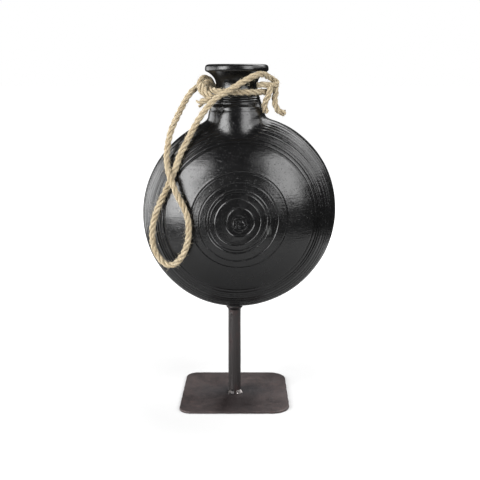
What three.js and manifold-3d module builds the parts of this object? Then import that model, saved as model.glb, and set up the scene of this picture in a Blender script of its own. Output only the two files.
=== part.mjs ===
// A barro negro clay canteen on an iron stand.
// Origin: centre of the stand plate's underside, on the post's axis. +Z up, front faces -Y. Millimetres.
import * as THREE from "three";
import { mergeVertices } from "three/addons/utils/BufferGeometryUtils.js";
import Module from "manifold-3d";

// ---------------------------------------------------------------- driving dimensions

const GAP = 0.3; // between two pieces that touch

// Stand
const PLATE_SIDE = 137;
const PLATE_THICKNESS = 3;
const PLATE_SKEW = 3; // the back left corner was cut this much short
const CORNER_RADII = { frontLeft: 15, frontRight: 22, backRight: 22, backLeft: 16 };
const POST_DIAMETER = 16;
const POST_LENGTH = 113.5;
const POST_CHAMFER = 0.6;
// Three beads hold the post's foot: where each runs, in degrees from +X, and how wide it lies
const FOOT_WELDS = {
  foot_weld_left: { from: 198, to: 272, leg: 4.6 },
  foot_weld_right: { from: 280, to: 342, leg: 3.9 },
  foot_weld_back: { from: 25, to: 165, leg: 3.2 },
};
const WELD_TOE = 0.18; // height of a bead's edge, as a share of its leg
const WELD_CROWN = 0.66; // of the middle of its face
const TOP_WELD_LEG = 4.2;
const TOP_WELD_REACH = 2.1;

// Fixing
const STUD_DIAMETER = 8;
const STUD_DEPTH = 14; // screwed into the post
const STUD_END = 2.5; // past the nut
const STUD_CHAMFER = 0.8;
const HOLE_CLEARANCE = 0.6; // radial, stud in washers and in the clay
const SADDLE_RADIUS = 10.4;
const SADDLE_THICKNESS = 1.5;
const CUSHION_THICKNESS = 1.5;
const INNER_CUSHION_RADIUS = 10.5;
const INNER_WASHER_RADIUS = 10;
const INNER_WASHER_THICKNESS = 1.6;
const NUT_ACROSS_FLATS = 13;
const NUT_HEIGHT = 6.5;

// Clay vessel
const BODY_LONG = 243.8; // the disc is a little out of round, longest at 45 degrees
const BODY_SHORT = 237.4;
const BODY_THICKNESS = 144;
const BODY_OFFSET = 6; // disc centre, to the right of the post
const SEAT_DEPTH = 1.8; // of the flat ground into the disc's lowest point
const WALL = 7;
const FLOOR_THICKNESS = 8.5; // under the nut
const FLOOR_CLEARANCE = 0.5; // radial, inner cushion in the flat that it lies on
const NECK_OFFSET = 3; // neck axis, to the right of the post
const NECK_HEIGHT = 59.6; // mouth above the disc's top
const LIP_RADIUS = 38.7;
const THROAT_RADIUS = 24.9;
const NECK_FOOT_RADIUS = 34;
const NECK_LUTE_DROP = 68; // from the mouth down to where the neck was luted to the bowls
const NECK_ROOT_DROP = 74; // from the mouth down to the end of the neck's outside, in the shoulder
const BORE_DROP = 85; // from the mouth down to the end of the neck's bore, in the body's hollow

// Ropes
const ROPE_DIAMETER = 7.5;
const ROPE_SIDES = 8;
const NECK_ROPE_STEPS = 40; // round the closed loop
const ROPE_MOUTH_HEIGHT = 419.12; // the height of the mouth that the ropes' routes are drawn for

// ---------------------------------------------------------------- derived heights

const postRadius = POST_DIAMETER / 2;
const studRadius = STUD_DIAMETER / 2;
const ropeRadius = ROPE_DIAMETER / 2;
const postFoot = PLATE_THICKNESS + GAP;
const postTop = postFoot + POST_LENGTH;
const saddleBottom = postTop + GAP;
const saddleTop = saddleBottom + SADDLE_THICKNESS;
const cushionBottom = saddleTop + GAP;
const cushionTop = cushionBottom + CUSHION_THICKNESS;
const seatHeight = cushionTop + GAP;
const bodyReach = Math.hypot(BODY_LONG, BODY_SHORT) / Math.SQRT2 / 2; // half height of the turned oval
const bodyHeight = seatHeight - SEAT_DEPTH + bodyReach;
const mouthHeight = bodyHeight + bodyReach + NECK_HEIGHT;
const floorHeight = seatHeight + FLOOR_THICKNESS;
const innerCushionBottom = floorHeight + GAP;
const innerWasherBottom = innerCushionBottom + CUSHION_THICKNESS + GAP;
const nutBottom = innerWasherBottom + INNER_WASHER_THICKNESS + GAP;
const nutTop = nutBottom + NUT_HEIGHT;
const studBottom = postTop - STUD_DEPTH + GAP;
const studTop = nutTop + STUD_END;
const clearHole = studRadius + HOLE_CLEARANCE;
const ropeLift = mouthHeight - ROPE_MOUTH_HEIGHT;

// ---------------------------------------------------------------- materials

const finish = (color, roughness, metalness) =>
  new THREE.MeshStandardMaterial({ color, roughness, metalness });

const clay = finish(0x1b1b1d, 0.35, 0.0);
const iron = finish(0x3a2e2c, 0.6, 0.7);
const postIron = finish(0x3b3838, 0.45, 0.8);
const weldIron = finish(0x4a4543, 0.4, 0.85);
const zincSteel = finish(0x9a9c9e, 0.35, 0.9);
const rubber = finish(0x141414, 0.85, 0.0);
const rope = finish(0xc8b48c, 0.9, 0.0);

// ---------------------------------------------------------------- solids

const wasm = await Module();
wasm.setup();

// A closed three.js geometry as a solid that can be joined and cut.
function solid(geometry) {
  const bare = geometry.clone();
  bare.deleteAttribute("normal");
  bare.deleteAttribute("uv");
  const merged = mergeVertices(bare, 1e-3);
  return new wasm.Manifold(
    new wasm.Mesh({
      numProp: 3,
      vertProperties: merged.attributes.position.array,
      triVerts: new Uint32Array(merged.index.array),
    }),
  );
}

function geometryOf(manifold) {
  const mesh = manifold.getMesh();
  const geometry = new THREE.BufferGeometry();
  geometry.setAttribute("position", new THREE.BufferAttribute(mesh.vertProperties, 3));
  geometry.setIndex(new THREE.BufferAttribute(mesh.triVerts, 1));
  return geometry;
}

// Turns a profile of [radius, height] pairs about the Z axis.
function turned(profile, segments = 32) {
  const points = profile.map(([radius, height]) => new THREE.Vector2(radius, height));
  return new THREE.LatheGeometry(points, segments).rotateX(Math.PI / 2);
}

// A flat ring between two heights.
function ring(innerRadius, outerRadius, bottom, thickness, segments = 32) {
  const top = bottom + thickness;
  return turned(
    [
      [innerRadius, bottom],
      [outerRadius, bottom],
      [outerRadius, top],
      [innerRadius, top],
      [innerRadius, bottom],
    ],
    segments,
  );
}

// A smooth outline through a few [radius, height] points.
function smooth(points, divisions) {
  const curve = new THREE.SplineCurve(points.map(([x, y]) => new THREE.Vector2(x, y)));
  return curve.getPoints(divisions).map((p) => [p.x, p.y]);
}

// A disc-shaped solid of revolution about Y whose outline is an oval turned 45 degrees.
function ovalDisc(halfLong, halfShort, halfThickness, rows, segments) {
  const profile = [];
  for (let i = 0; i <= rows; i++) {
    const angle = -Math.PI / 2 + (Math.PI * i) / rows;
    const onAxis = i === 0 || i === rows;
    profile.push(new THREE.Vector2(onAxis ? 0 : Math.cos(angle), Math.sin(angle)));
  }
  return new THREE.LatheGeometry(profile, segments)
    .scale(halfLong, halfThickness, halfShort)
    .rotateY(-Math.PI / 4)
    .translate(BODY_OFFSET, 0, bodyHeight);
}

function circle(radius, sides) {
  const shape = new THREE.Shape();
  for (let i = 0; i < sides; i++) {
    const angle = (2 * Math.PI * i) / sides;
    const x = radius * Math.cos(angle);
    const y = radius * Math.sin(angle);
    if (i === 0) shape.moveTo(x, y);
    else shape.lineTo(x, y);
  }
  shape.closePath();
  return shape;
}

// The curve of a route, at the height of the neck that the ropes are tied to.
function ropePath(route, closed) {
  const points = route.map(([x, y, z]) => new THREE.Vector3(x, y, z + ropeLift));
  return new THREE.CatmullRomCurve3(points, closed, "centripetal");
}

// A rope along a route of points.
function ropeAlong(route, step = 2 * ROPE_DIAMETER) {
  const path = ropePath(route, false);
  const steps = Math.ceil(path.getLength() / step);
  return new THREE.ExtrudeGeometry(circle(ropeRadius, ROPE_SIDES), { steps, extrudePath: path });
}

const group = new THREE.Group();

function add(name, geometry, material) {
  const mesh = new THREE.Mesh(geometry, material);
  mesh.name = name;
  group.add(mesh);
}

// ---------------------------------------------------------------- stand

// The plate's outline: four straight sides with a different round at each corner.
function plateOutline() {
  const half = PLATE_SIDE / 2;
  const corners = [
    { x: -half, y: -half, r: CORNER_RADII.frontLeft },
    { x: half, y: -half, r: CORNER_RADII.frontRight },
    { x: half, y: half, r: CORNER_RADII.backRight },
    { x: -half + PLATE_SKEW, y: half, r: CORNER_RADII.backLeft },
  ];
  const shape = new THREE.Shape();
  corners.forEach((corner, i) => {
    const here = new THREE.Vector2(corner.x, corner.y);
    const before = corners[(i + 3) % 4];
    const after = corners[(i + 1) % 4];
    const back = new THREE.Vector2(before.x, before.y).sub(here).normalize();
    const ahead = new THREE.Vector2(after.x, after.y).sub(here).normalize();
    const halfAngle = Math.acos(back.dot(ahead)) / 2;
    const inward = back.clone().add(ahead).normalize();
    const centre = here.clone().addScaledVector(inward, corner.r / Math.sin(halfAngle));
    const tangent = corner.r / Math.tan(halfAngle);
    const start = here.clone().addScaledVector(back, tangent).sub(centre).angle();
    const end = here.clone().addScaledVector(ahead, tangent).sub(centre).angle();
    shape.absarc(centre.x, centre.y, corner.r, start, end, false);
  });
  shape.closePath();
  return shape;
}

function basePlate() {
  return new THREE.ExtrudeGeometry(plateOutline(), {
    depth: PLATE_THICKNESS,
    bevelEnabled: false,
    curveSegments: 10,
  });
}

function post() {
  const boreRadius = studRadius + GAP;
  return turned([
    [0, postFoot],
    [postRadius, postFoot],
    [postRadius, postTop - POST_CHAMFER],
    [postRadius - POST_CHAMFER, postTop],
    [boreRadius, postTop],
    [boreRadius, postTop - STUD_DEPTH],
    [0, postTop - STUD_DEPTH],
  ]);
}

// The part of a full ring that lies between two angles, in degrees from +X.
function sector(geometry, from, to, reach, top) {
  const pie = new THREE.Shape();
  const radians = THREE.MathUtils.degToRad;
  pie.moveTo(0, 0);
  pie.lineTo(reach * Math.cos(radians(from)), reach * Math.sin(radians(from)));
  pie.absarc(0, 0, reach, radians(from), radians(to), false);
  pie.closePath();
  const wedge = new THREE.ExtrudeGeometry(pie, { depth: top, bevelEnabled: false, curveSegments: 8 });
  return geometryOf(solid(geometry).intersect(solid(wedge)));
}

// A bead of weld in the corner between post and plate.
function footWeld({ from, to, leg }) {
  const inner = postRadius + GAP;
  const bead = [
    [inner, postFoot],
    [inner + leg, postFoot],
    [inner + leg, postFoot + WELD_TOE * leg],
    [inner + WELD_CROWN * leg, postFoot + WELD_CROWN * leg],
    [inner + WELD_TOE * leg, postFoot + leg],
    [inner, postFoot + leg],
    [inner, postFoot],
  ];
  return sector(turned(bead, 40), from, to, 2 * (inner + leg), 2 * (postFoot + leg));
}

// The hollow fillet of weld that spreads from the post to the saddle washer.
function topWeld() {
  const inner = postRadius + GAP;
  const outer = inner + TOP_WELD_REACH;
  const bottom = postTop - TOP_WELD_LEG;
  const hollow = smooth(
    [
      [inner + 0.15 * TOP_WELD_REACH, bottom],
      [inner + 0.3 * TOP_WELD_REACH, bottom + 0.5 * TOP_WELD_LEG],
      [outer, postTop],
    ],
    5,
  );
  return turned([[inner, bottom], ...hollow, [inner, postTop], [inner, bottom]]);
}

// ---------------------------------------------------------------- fixing

function stud() {
  return turned([
    [0, studBottom],
    [studRadius - STUD_CHAMFER, studBottom],
    [studRadius, studBottom + STUD_CHAMFER],
    [studRadius, studTop - STUD_CHAMFER],
    [studRadius - STUD_CHAMFER, studTop],
    [0, studTop],
  ], 24);
}

function nut() {
  const hexagon = circle(NUT_ACROSS_FLATS / Math.sqrt(3), 6);
  hexagon.holes.push(new THREE.Path(circle(studRadius + GAP, 24).getPoints()));
  const prism = new THREE.ExtrudeGeometry(hexagon, { depth: NUT_HEIGHT, bevelEnabled: false });
  return prism.translate(0, 0, nutBottom);
}

// ---------------------------------------------------------------- clay vessel

// Outside of the neck, from the mouth down into the shoulder.
function neckOutside() {
  const flare = (share) => THROAT_RADIUS + share * (LIP_RADIUS - THROAT_RADIUS);
  const swell = (share) => THROAT_RADIUS + share * (NECK_FOOT_RADIUS - THROAT_RADIUS);
  const down = (drop) => mouthHeight - drop;
  const outline = smooth(
    [
      [swell(1.35), down(NECK_ROOT_DROP)],
      [swell(1.15), down(66)],
      [swell(1), down(57)],
      [swell(0.72), down(48.5)],
      [swell(0.52), down(45.9)],
      [swell(0.23), down(37.3)],
      [flare(0), down(27)],
      [flare(0.1), down(18.7)],
      [flare(0.31), down(13.7)],
      [flare(0.62), down(9.5)],
      [flare(1), down(5.2)],
      [flare(0.87), down(1.2)],
      [flare(0.6), down(0)],
    ],
    26,
  );
  const profile = [[0, down(NECK_ROOT_DROP)], ...outline, [0, down(0)]];
  return turned(profile, 40).translate(NECK_OFFSET, 0, 0);
}

// The hollow of the neck, from above the mouth down into the body.
function neckBore() {
  const narrow = THROAT_RADIUS - WALL;
  const wide = NECK_FOOT_RADIUS - WALL;
  const mouth = LIP_RADIUS - 1.4 * WALL;
  const down = (drop) => mouthHeight - drop;
  const outline = smooth(
    [
      [wide, down(BORE_DROP)],
      [wide, down(58)],
      [narrow + 0.2 * (wide - narrow), down(40)],
      [narrow, down(26)],
      [narrow + 0.25 * (mouth - narrow), down(14)],
      [mouth, down(1)],
    ],
    12,
  );
  const profile = [[0, down(BORE_DROP)], ...outline, [mouth + 1, down(-1)], [0, down(-1)]];
  return turned(profile).translate(NECK_OFFSET, 0, 0);
}

// The fired vessel: closed body with an open neck, a ground seat and a drilled hole below.
function clayVessel() {
  const halfThickness = BODY_THICKNESS / 2;
  const outside = ovalDisc(BODY_LONG / 2, BODY_SHORT / 2, halfThickness, 20, 56);
  const inside = ovalDisc(BODY_LONG / 2 - WALL, BODY_SHORT / 2 - WALL, halfThickness - WALL, 14, 36);
  const below = new THREE.BoxGeometry(BODY_LONG, BODY_THICKNESS, bodyReach);
  const seatCut = below.clone().translate(BODY_OFFSET, 0, seatHeight - bodyReach / 2);
  const floorFill = below.clone().translate(BODY_OFFSET, 0, floorHeight - bodyReach / 2);
  const drilled = turned([
    [0, seatHeight - 1],
    [clearHole, seatHeight - 1],
    [clearHole, floorHeight + 1],
    [0, floorHeight + 1],
  ], 24);
  // The flat that the inner cushion, washer and nut stand on, ground out where the wall curves in over them
  const spot = INNER_CUSHION_RADIUS + FLOOR_CLEARANCE;
  const groundFlat = turned([
    [0, floorHeight],
    [spot, floorHeight],
    [spot, nutTop],
    [0, nutTop],
  ]);
  const cavity = solid(inside).subtract(solid(floorFill)).add(solid(groundFlat));
  const hollow = cavity.add(solid(neckBore())).add(solid(drilled));
  const shell = solid(outside).add(solid(neckOutside())).subtract(solid(seatCut));
  return shell.subtract(hollow);
}

// The three thrown parts that the potter luted together: two bowls, rim to rim, and the neck.
function thrownParts(vessel) {
  const far = 2 * mouthHeight;
  const lute = GAP / 2;
  const block = (depth, height, y, z) => solid(new THREE.BoxGeometry(far, depth, height).translate(0, y, z));
  const rimHeight = mouthHeight - NECK_LUTE_DROP;
  return {
    neck: geometryOf(vessel.intersect(block(far, far, 0, rimHeight + lute + far / 2))),
    front: geometryOf(vessel.intersect(block(far, far, -lute - far / 2, rimHeight - lute - far / 2))),
    back: geometryOf(vessel.intersect(block(far, far, lute + far / 2, rimHeight - lute - far / 2))),
  };
}

// ---------------------------------------------------------------- ropes

// The rope held round the neck: it hugs the front and back and stands off at the two knots.
const NECK_ROPE_ROUTE = [
  [40.5, -11, 386.5],
  [31.5, -22.5, 386.5],
  [18, -29.5, 386.5],
  [3, -31, 386.5],
  [-11, -29.5, 387],
  [-23, -23, 388],
  [-31, -10, 391],
  [-31, 3, 393],
  [-25, 19, 392.5],
  [-11, 28.5, 390],
  [3, 31, 388],
  [18, 28.5, 387],
  [31, 18, 386.5],
  [40, 6, 386.5],
  [42, -3, 386.5],
];

// The carrying rope, from the left knot, round its hanging loop, to the right knot.
const STRAP_ROUTE = [
  [-35.5, -7, 392.5],
  [-42, -7.3, 392.8],
  [-48, -9.5, 389.5],
  [-54, -13, 383],
  [-60.5, -18, 372],
  [-68.5, -24, 356],
  [-75, -29, 341],
  [-78.5, -33, 326],
  [-80, -37, 311],
  [-78.5, -44.5, 301],
  [-76, -54.5, 293],
  [-72, -60, 283],
  [-66.5, -63.5, 270],
  [-58.5, -65.8, 255],
  [-54, -67.3, 242],
  [-53, -67.8, 230],
  [-54, -67.5, 217],
  [-57, -66, 206],
  [-62, -63.5, 195.5],
  [-69.5, -60, 187],
  [-77, -56, 184],
  [-84, -52.5, 186],
  [-91, -49.5, 193],
  [-96.5, -47.2, 204],
  [-98, -46, 219],
  [-96.5, -46.8, 233],
  [-92, -48.2, 248],
  [-85, -50, 263.5],
  [-77, -51, 280],
  [-70, -49.2, 296],
  [-64, -44.5, 313],
  [-56, -40, 329],
  [-46.5, -37, 347],
  [-35, -36.5, 364.5],
  [-22, -39, 379],
  [-5, -40, 389.3],
  [13, -37, 400],
  [28.5, -31, 407],
  [36, -25, 406.7],
  [41, -18, 404],
];

// Over the neck rope and the start of the sling, down in front of both, and under to the right.
const LEFT_KNOT_ROUTE = [
  [-31, -3.5, 401.5],
  [-36, -9, 403],
  [-40, -14.5, 399.5],
  [-41, -17.2, 393.5],
  [-38.5, -18.8, 387.5],
  [-33.5, -20, 383],
  [-28, -20.5, 380.5],
];

const CUT_TAIL_ROUTE = [
  [-26, -28.5, 379],
  [-32, -27.5, 377.5],
  [-37.5, -25, 375.5],
  [-42, -22, 373.2],
];

// The sling's end turns back on itself and lies along the top of the neck rope.
const RIGHT_KNOT_ROUTE = [
  [42.2, -16.2, 403.1],
  [47.2, -14, 400.6],
  [50.8, -15, 396.5],
  [47.5, -19.5, 394],
  [41, -22.5, 394.8],
  [34, -23.5, 395.2],
  [27.5, -21.5, 395],
];

const SHORT_TAIL_ROUTE = [
  [42, -23.5, 386.5],
  [39.5, -23, 380],
  [36.5, -20.5, 373.5],
  [36.5, -17.5, 367.5],
  [38.5, -15.5, 362.5],
];

const LONG_TAIL_ROUTE = [
  [49.5, -18, 385.8],
  [48.3, -18.5, 378.5],
  [49.5, -18, 370.5],
  [54, -16, 363.5],
  [61, -14, 361.5],
];

// ---------------------------------------------------------------- assembly

add("base_plate", basePlate(), iron);
add("post", post(), postIron);
for (const [name, bead] of Object.entries(FOOT_WELDS)) add(name, footWeld(bead), weldIron);
add("top_weld", topWeld(), weldIron);
add("saddle_washer", ring(clearHole, SADDLE_RADIUS, saddleBottom, SADDLE_THICKNESS), postIron);
add("lower_cushion", ring(clearHole, SADDLE_RADIUS, cushionBottom, CUSHION_THICKNESS), rubber);
const clayParts = thrownParts(clayVessel());
add("front_bowl", clayParts.front, clay);
add("back_bowl", clayParts.back, clay);
add("neck", clayParts.neck, clay);
const innerCushion = ring(clearHole, INNER_CUSHION_RADIUS, innerCushionBottom, CUSHION_THICKNESS);
add("inner_cushion", innerCushion, rubber);
const innerWasher = ring(clearHole, INNER_WASHER_RADIUS, innerWasherBottom, INNER_WASHER_THICKNESS);
add("inner_washer", innerWasher, zincSteel);
add("hex_nut", nut(), zincSteel);
add("threaded_stud", stud(), zincSteel);

const neckPath = ropePath(NECK_ROPE_ROUTE, true);
add("neck_rope", new THREE.TubeGeometry(neckPath, NECK_ROPE_STEPS, ropeRadius, ROPE_SIDES, true), rope);
add("strap_rope", ropeAlong(STRAP_ROUTE), rope);
add("left_knot", ropeAlong(LEFT_KNOT_ROUTE, ropeRadius), rope);
add("right_knot", ropeAlong(RIGHT_KNOT_ROUTE, ropeRadius), rope);
add("cut_tail", ropeAlong(CUT_TAIL_ROUTE, ropeRadius), rope);
add("short_tail", ropeAlong(SHORT_TAIL_ROUTE, ropeRadius), rope);
add("long_tail", ropeAlong(LONG_TAIL_ROUTE, ropeRadius), rope);

export default group;
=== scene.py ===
"""A barro negro canteen on an iron stand, with rope tied round its neck."""

import math

import bpy
import numpy as np
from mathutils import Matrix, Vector


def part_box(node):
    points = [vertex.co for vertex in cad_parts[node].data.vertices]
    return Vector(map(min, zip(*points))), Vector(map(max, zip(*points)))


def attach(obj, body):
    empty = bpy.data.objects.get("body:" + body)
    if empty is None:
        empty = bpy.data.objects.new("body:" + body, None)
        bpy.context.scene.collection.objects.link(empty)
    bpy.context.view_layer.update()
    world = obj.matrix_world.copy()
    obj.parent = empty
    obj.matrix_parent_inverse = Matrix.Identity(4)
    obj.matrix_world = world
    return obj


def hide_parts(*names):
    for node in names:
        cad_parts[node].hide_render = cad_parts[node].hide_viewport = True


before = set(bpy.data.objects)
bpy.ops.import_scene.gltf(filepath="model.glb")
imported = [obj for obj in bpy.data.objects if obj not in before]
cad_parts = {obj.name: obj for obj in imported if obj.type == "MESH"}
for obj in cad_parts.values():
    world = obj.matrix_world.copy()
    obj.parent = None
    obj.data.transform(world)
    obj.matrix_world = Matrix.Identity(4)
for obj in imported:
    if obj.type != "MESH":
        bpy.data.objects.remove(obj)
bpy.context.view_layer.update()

MM = 0.001
TAU = 2 * math.pi
scene = bpy.context.scene

# ---------------- sizes, in millimetres


def span(node):
    """Lowest and highest corner of a CAD node."""
    low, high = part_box(node)
    return np.array(low) / MM, np.array(high) / MM


# The CAD's own values, which its boxes don't give
TOUCH = 0.3  # between two pieces that touch
WALL = 7.0
SEAT_DEPTH = 1.8  # of the flat ground into the disc's lowest point
BODY_LONG, BODY_SHORT = 243.8, 237.4  # the disc is a little out of round
NECK_X = 3.0
LIP, THROAT, NECK_FOOT = 38.7, 24.9, 34.0  # radii
HOLE_CLEARANCE = 0.6
ROPE = 7.5

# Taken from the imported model
BODY_THICKNESS = 2 * span("back_bowl")[1][1]
MOUTH_HEIGHT = span("neck")[1][2]
SEAT_HEIGHT = span("lower_cushion")[1][2] + TOUCH
FLOOR_HEIGHT = span("inner_cushion")[0][2] - TOUCH
BODY_REACH = math.hypot(BODY_LONG, BODY_SHORT) / math.sqrt(2) / 2
BODY_X = (span("front_bowl")[0][0] + span("front_bowl")[1][0]) / 2
BODY_CENTRE = np.array([BODY_X, 0, SEAT_HEIGHT - SEAT_DEPTH + BODY_REACH])
STUD_RADIUS = span("threaded_stud")[1][0]
HOLE_RADIUS = STUD_RADIUS + HOLE_CLEARANCE
POST_RADIUS = span("post")[1][0]

# ---------------- camera

CAMERA_LENS = 61.7
CAMERA_PLACE = (0.007, -1.0128, 0.4062)
CAMERA_DOWN = 11.33  # degrees below level


def make_camera():
    data = bpy.data.cameras.new("camera")
    data.sensor_width = 36
    data.lens = CAMERA_LENS
    camera = bpy.data.objects.new("camera", data)
    camera.location = CAMERA_PLACE
    camera.rotation_euler = (math.radians(90 - CAMERA_DOWN), 0, 0)
    scene.collection.objects.link(camera)
    scene.camera = camera


make_camera()

# ---------------- mesh helpers


def grid_faces(rows, columns, wrap_rows=False, wrap_columns=True):
    """Quads of a grid whose vertex (i, j) has number i * columns + j."""
    i = np.arange(rows if wrap_rows else rows - 1)
    j = np.arange(columns if wrap_columns else columns - 1)
    i, j = np.meshgrid(i, j, indexing="ij")
    ni, nj = (i + 1) % rows, (j + 1) % columns
    quads = np.stack([i * columns + j, i * columns + nj, ni * columns + nj, ni * columns + j], -1)
    return quads.reshape(-1, 4)


def make_object(name, verts_mm, faces, material, smooth=True, attributes=None, sharp=None):
    mesh = bpy.data.meshes.new(name)
    mesh.from_pydata((np.asarray(verts_mm) * MM).tolist(), [], [tuple(map(int, f)) for f in faces])
    mesh.validate()
    for key, values in (attributes or {}).items():
        layer = mesh.attributes.new(key, "FLOAT_VECTOR", "POINT")
        layer.data.foreach_set("vector", np.asarray(values, float).ravel())
    mesh.polygons.foreach_set("use_smooth", [smooth] * len(mesh.polygons))
    if sharp is not None:
        mesh.set_sharp_from_angle(angle=math.radians(sharp))
    mesh.materials.append(material)
    obj = bpy.data.objects.new(name, mesh)
    scene.collection.objects.link(obj)
    return obj


def placed(obj, slot, *nodes):
    """Rides on the one body and stands for its CAD nodes, which it hides. slot is not used."""
    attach(obj, "root")
    if nodes:
        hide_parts(*nodes)
    return obj


def boolean(obj, other, operation):
    """Joins or cuts obj by other with the manifold solver, and deletes other."""
    modifier = obj.modifiers.new(operation.lower(), "BOOLEAN")
    modifier.operation = operation
    modifier.solver = "MANIFOLD"
    modifier.object = other
    graph = bpy.context.evaluated_depsgraph_get()
    made = bpy.data.meshes.new_from_object(obj.evaluated_get(graph))
    obj.modifiers.clear()
    obj.data = made
    bpy.data.objects.remove(other)


# ---------------- materials


class Nodes:
    """Short names for building a node material."""

    def __init__(self, name):
        self.material = bpy.data.materials.new(name)
        self.material.use_nodes = True
        self.tree = self.material.node_tree
        self.shader = self.tree.nodes["Principled BSDF"]

    def add(self, kind, **inputs):
        node = self.tree.nodes.new("ShaderNode" + kind)
        for key, value in inputs.items():
            self.put(node, key.replace("_", " "), value)
        return node

    def put(self, node, key, value):
        socket = node.inputs[int(key[1:]) if key[0] == "i" and key[1:].isdigit() else key]
        if isinstance(value, bpy.types.NodeSocket):
            self.tree.links.new(value, socket)
        else:
            socket.default_value = value

    def set(self, key, value):
        self.put(self.shader, key, value)

    def position(self):
        return self.add("TexCoord").outputs["Object"]

    def attribute(self, name):
        node = self.add("Attribute")
        node.attribute_name = name
        return node.outputs["Vector"]

    def stretch(self, vector, scale):
        return self.add("Mapping", Vector=vector, Scale=scale).outputs["Vector"]

    def noise(self, vector, scale, detail=3.0, roughness=0.5, distortion=0.0):
        node = self.add("TexNoise", Vector=vector, Scale=scale, Detail=detail, Roughness=roughness,
                        Distortion=distortion)
        return node.outputs["Fac"]

    def ramp(self, fac, *stops):
        node = self.add("ValToRGB", Fac=fac)
        elements = node.color_ramp.elements
        while len(elements) < len(stops):
            elements.new(0.5)
        for element, (at, value) in zip(elements, stops):
            element.position = at
            element.color = (value, value, value, 1) if isinstance(value, (int, float)) else (*value, 1)
        return node.outputs["Color"]

    def math(self, operation, a, b=0.5):
        node = self.add("Math", i0=a, i1=b)
        node.operation = operation
        return node.outputs[0]

    def vector(self, operation, a, b=(0, 0, 0)):
        node = self.add("VectorMath", i0=a, i1=b)
        node.operation = operation
        return node.outputs["Value" if operation in ("LENGTH", "DISTANCE") else "Vector"]

    def mix(self, fac, a, b):
        node = self.add("Mix")
        node.data_type = "RGBA"
        for index, value in ((0, fac), (6, a), (7, b)):
            value = (*value, 1) if isinstance(value, tuple) and len(value) == 3 else value
            self.put(node, "i%d" % index, value)
        return node.outputs[2]

    def finish(self, colour, metallic, roughness, normal):
        self.set("Base Color", colour)
        self.set("Metallic", metallic)
        self.set("Roughness", roughness)
        self.set("Normal", normal)
        return self.material

    def bump(self, height, strength, distance, normal=None):
        node = self.add("Bump", Height=height, Strength=strength, Distance=distance)
        if normal is not None:
            self.put(node, "Normal", normal)
        return node.outputs["Normal"]


RUBBED_PLACE = (0.0407, 0, 0.2282)


def clay_material():
    """Burnished black clay: sheen in patches, stone strokes, turning marks, specks and pits."""
    n = Nodes("burnished_clay")
    p = n.position()
    cloud = n.noise(p, 26, 5, 0.6)
    fine = n.noise(p, 210, 4, 0.6)
    speck = n.ramp(n.noise(p, 900, 2, 0.5), (0.0, 0.0), (0.66, 0.0), (0.74, 1.0))
    colour = n.mix(cloud, (0.0018, 0.0018, 0.0019), (0.0042, 0.0042, 0.0045))
    colour = n.mix(n.math("MULTIPLY", speck, 0.3), colour, (0.05, 0.05, 0.05))

    # A rubbed place beside the rings, where grey shows through the burnish
    reach = n.vector("LENGTH", n.vector("MULTIPLY", n.vector("SUBTRACT", p, RUBBED_PLACE), (250, 0, 150)))
    rub = n.math("MULTIPLY", n.ramp(reach, (0.35, 1.0), (1.0, 0.0)),
                 n.ramp(n.noise(n.stretch(p, (1, 1, 0.2)), 700, 3, 0.6), (0.42, 0.15), (0.62, 1.0)))
    colour = n.mix(n.math("MULTIPLY", rub, 0.38), colour, (0.16, 0.165, 0.16))
    n.set("Base Color", colour)

    # Turning marks run round the disc's middle, strongest near its edge
    local = n.vector("SUBTRACT", p, tuple(BODY_CENTRE * MM))
    radius = n.vector("LENGTH", n.vector("MULTIPLY", local, (1, 0, 1)))
    turned_at = n.math("ADD", radius, n.math("MULTIPLY", n.noise(p, 18, 2), 0.003))
    marks = n.add("TexNoise", Scale=520.0, Detail=3.0, Roughness=0.6)
    marks.noise_dimensions = "1D"
    n.put(marks, "W", turned_at)
    share = n.math("DIVIDE", radius, BODY_REACH * MM)
    edge = n.ramp(share, (0.0, 0.25), (0.66, 0.25), (0.8, 1.0))

    rough = n.ramp(cloud, (0.3, 0.14), (0.5, 0.18), (0.72, 0.25))
    rubbed = n.ramp(n.noise(p, 95, 4, 0.6, 0.5), (0.35, 0.0), (0.7, 0.07))
    n.set("Roughness", n.math("ADD", n.math("ADD", rough, rubbed), n.math("MULTIPLY", fine, 0.04)))
    strokes = n.noise(n.stretch(p, (1, 1, 5)), 60, 3, 0.55)
    normal = n.bump(strokes, 0.22, 0.0008)
    normal = n.bump(n.math("MULTIPLY", marks.outputs["Fac"], edge), 0.26, 0.0005, normal)
    normal = n.bump(n.noise(p, 105, 4, 0.6), 0.16, 0.0006, normal)
    normal = n.bump(n.noise(p, 420, 4, 0.6), 0.2, 0.0003, normal)
    pits = n.ramp(n.noise(p, 640, 1, 0.5), (0.0, 0.0), (0.27, 0.0), (0.33, 1.0))
    n.set("Normal", n.bump(pits, 0.3, 0.0004, normal))
    n.set("IOR", 1.5)
    return n.material


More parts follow.
